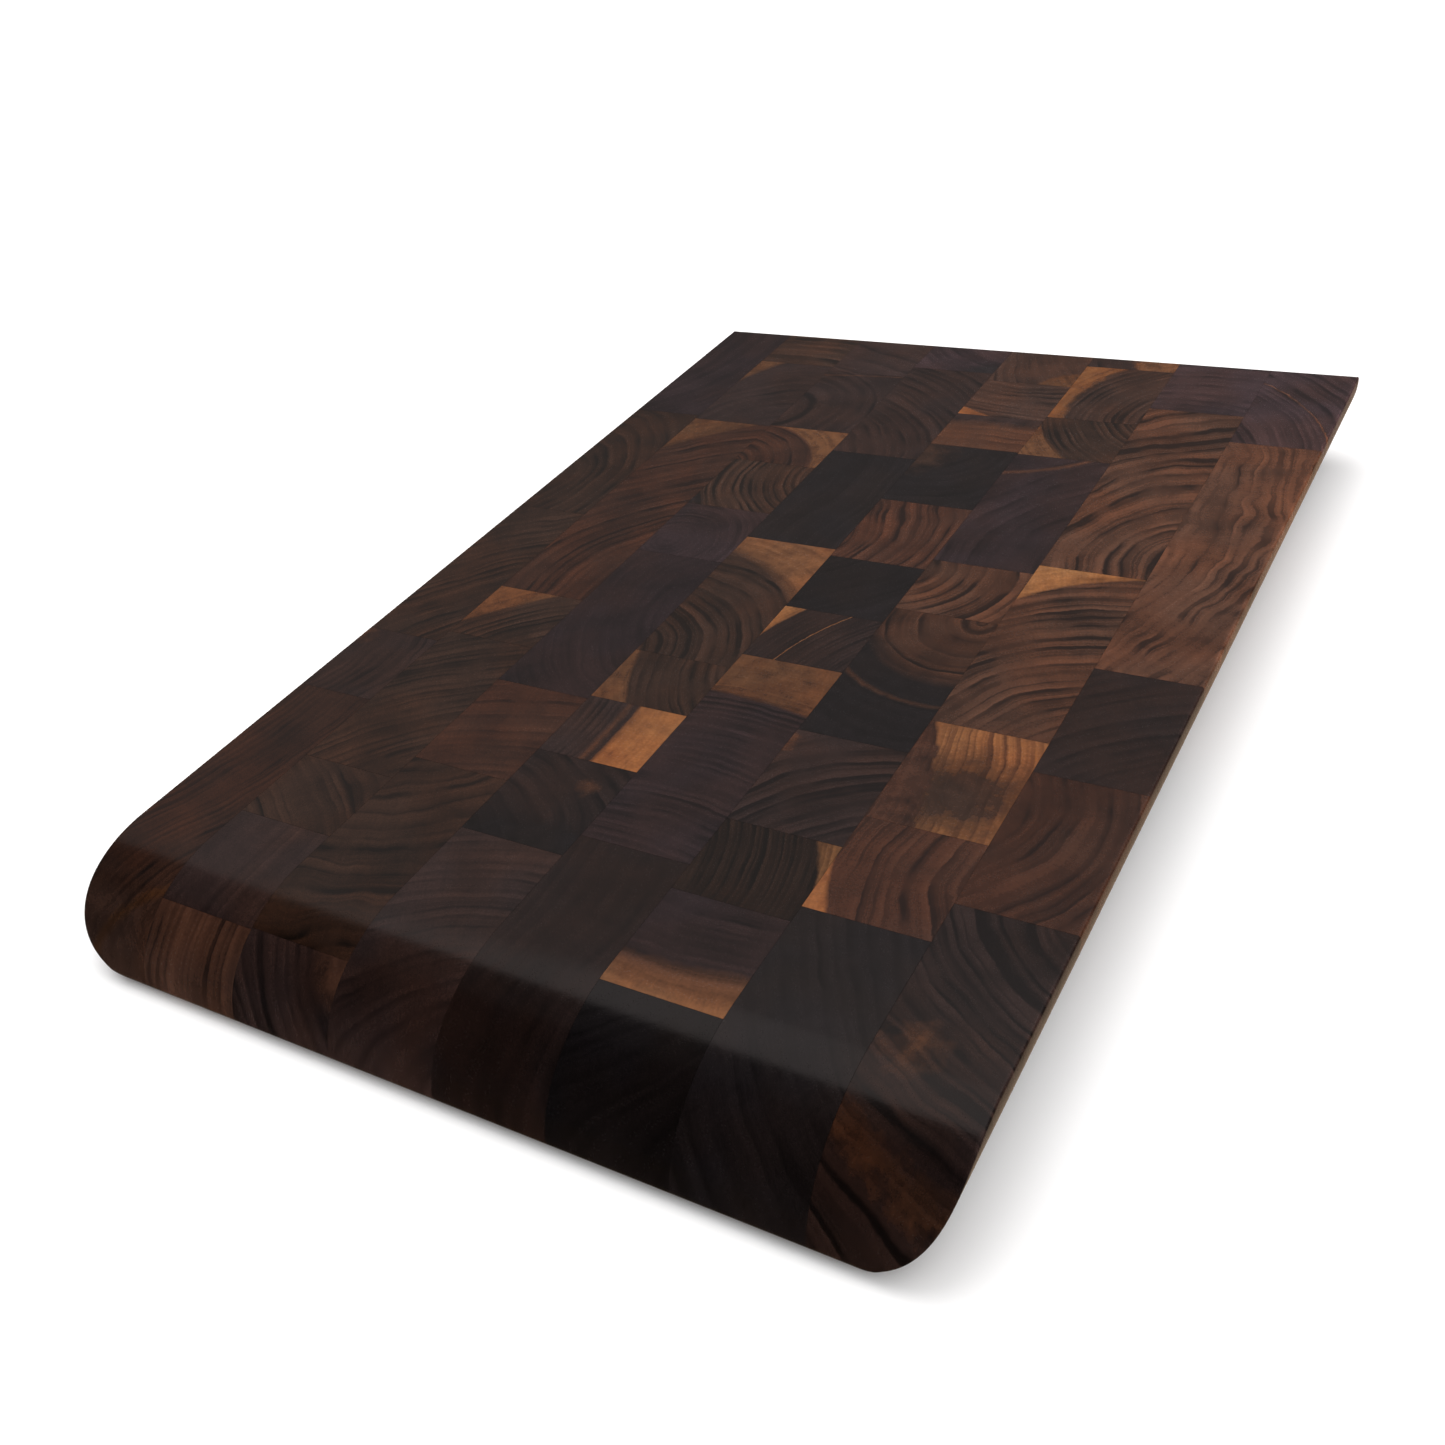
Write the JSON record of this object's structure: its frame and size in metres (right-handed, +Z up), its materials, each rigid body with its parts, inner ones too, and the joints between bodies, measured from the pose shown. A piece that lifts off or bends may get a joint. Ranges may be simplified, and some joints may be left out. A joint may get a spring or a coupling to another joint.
{
  "type": "cutting board",
  "caption": "End-grain walnut cutting board glued up from blocks in lengthwise strips, with a rounded nose at one end and undercut sides and back.",
  "frame": {"origin": "centre of the board's bounding box, on the plane of its underside", "axes": "+Z up through the cutting surface, +Y along the board's length towards the square back end, -Y towards the rounded nose, +X across the board to the right when it is seen from the nose"},
  "size_m": [0.305, 0.454, 0.032],
  "materials": {
    "walnut_black": "oiled, satin",
    "walnut_dark": "oiled, satin",
    "walnut_plum": "oiled, satin",
    "walnut_brown": "oiled, satin",
    "walnut_russet": "oiled, satin",
    "walnut_golden": "oiled, satin",
    "walnut_sapwood": "oiled, satin"
  },
  "bodies": {
    "root": {"strip_1_block_1": "walnut_brown", "strip_1_block_2": "walnut_dark", "strip_1_block_3": "walnut_brown", "strip_1_block_4": "walnut_brown", "strip_1_block_5": "walnut_dark", "strip_2_block_1": "walnut_russet", "strip_2_block_2": "walnut_dark", "strip_2_block_3": "walnut_brown", "strip_2_block_4": "walnut_brown", "strip_2_block_5": "walnut_brown", "strip_2_block_6": "walnut_russet", "strip_2_block_7": "walnut_dark", "strip_2_block_8": "walnut_brown", "strip_3_block_1": "walnut_brown", "strip_3_block_2": "walnut_brown", "strip_3_block_3": "walnut_russet", "strip_3_block_4": "walnut_plum", "strip_3_block_5": "walnut_plum", "strip_3_block_6": "walnut_brown", "strip_3_block_7": "walnut_russet", "strip_3_block_8": "walnut_dark", "strip_3_block_9": "walnut_dark", "strip_4_block_1": "walnut_dark", "strip_4_block_2": "walnut_black", "strip_4_block_3": "walnut_sapwood", "strip_4_block_4": "walnut_brown", "strip_4_block_5": "walnut_brown", "strip_4_block_6": "walnut_black", "strip_4_block_7": "walnut_dark", "strip_4_block_8": "walnut_plum", "strip_5_block_1": "walnut_dark", "strip_5_block_2": "walnut_plum", "strip_5_block_3": "walnut_dark", "strip_5_block_4": "walnut_black", "strip_5_block_5": "walnut_russet", "strip_5_block_6": "walnut_black", "strip_5_block_7": "walnut_golden", "strip_5_block_8": "walnut_russet", "strip_5_block_9": "walnut_russet", "strip_6_block_1": "walnut_black", "strip_6_block_2": "walnut_plum", "strip_6_block_3": "walnut_brown", "strip_6_block_4": "walnut_dark", "strip_6_block_5": "walnut_black", "strip_6_block_6": "walnut_golden", "strip_6_block_7": "walnut_plum", "strip_6_block_8": "walnut_brown", "strip_6_block_9": "walnut_russet", "strip_6_block_10": "walnut_golden", "strip_7_block_1": "walnut_black", "strip_7_block_2": "walnut_russet", "strip_7_block_3": "walnut_golden", "strip_7_block_4": "walnut_golden", "strip_7_block_5": "walnut_golden", "strip_7_block_6": "walnut_plum", "strip_8_block_1": "walnut_dark", "strip_8_block_2": "walnut_russet", "strip_8_block_3": "walnut_dark", "strip_8_block_4": "walnut_golden", "strip_8_block_5": "walnut_plum"}
  },
  "joints": []
}
